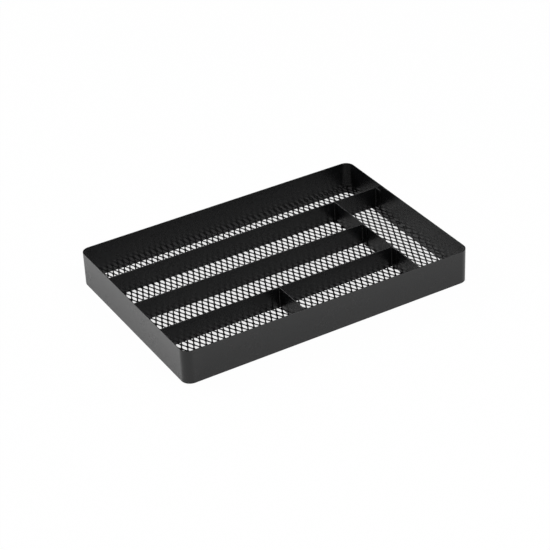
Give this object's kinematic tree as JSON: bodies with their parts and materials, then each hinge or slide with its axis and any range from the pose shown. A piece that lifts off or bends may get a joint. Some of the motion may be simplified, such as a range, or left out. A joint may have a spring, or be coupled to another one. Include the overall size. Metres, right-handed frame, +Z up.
{
  "type": "drawer organizer",
  "caption": "Rectangular steel drawer organizer: a rounded band of sheet steel round an expanded mesh floor, parted by thin dividers.",
  "frame": {"origin": "middle of the tray's footprint, on the surface that it stands on", "axes": "+X along the length to the right, +Y across the depth to the back, +Z up"},
  "size_m": [0.393, 0.2694, 0.0447],
  "materials": {
    "black_coat": "satin black powder coat on steel"
  },
  "bodies": {
    "root": {"wall_frame": "black_coat", "mesh_floor": "black_coat", "rear_divider": "black_coat", "middle_divider": "black_coat", "front_divider": "black_coat", "cross_divider": "black_coat", "short_divider": "black_coat"}
  },
  "joints": []
}
